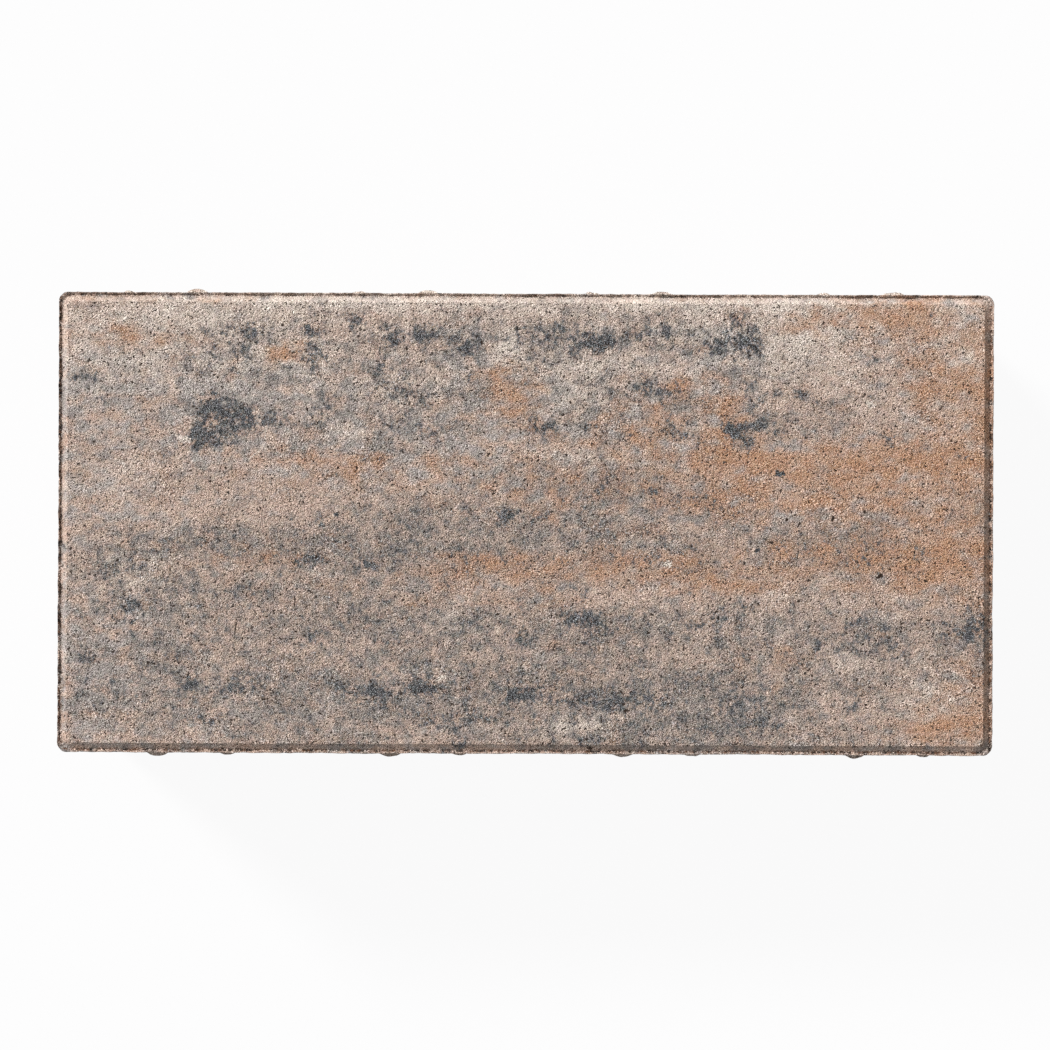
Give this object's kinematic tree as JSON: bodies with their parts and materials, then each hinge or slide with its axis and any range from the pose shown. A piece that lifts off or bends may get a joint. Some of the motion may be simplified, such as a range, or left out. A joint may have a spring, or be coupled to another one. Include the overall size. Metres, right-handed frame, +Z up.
{
  "type": "paving stone",
  "caption": "Rectangular pressed concrete paving stone with a small chamfer round its mottled face and meshing spacer nibs down its sides",
  "frame": {"origin": "middle of the bed, the stone's flat underside", "axes": "+X along the stone's length, +Y across it, +Z up through the wearing face"},
  "size_m": [0.2008, 0.1008, 0.06],
  "materials": {
    "concrete": "rough, open-grained pressed concrete, mottled grey, anthracite and salmon"
  },
  "bodies": {
    "root": {"paving_stone": "concrete"}
  },
  "joints": []
}
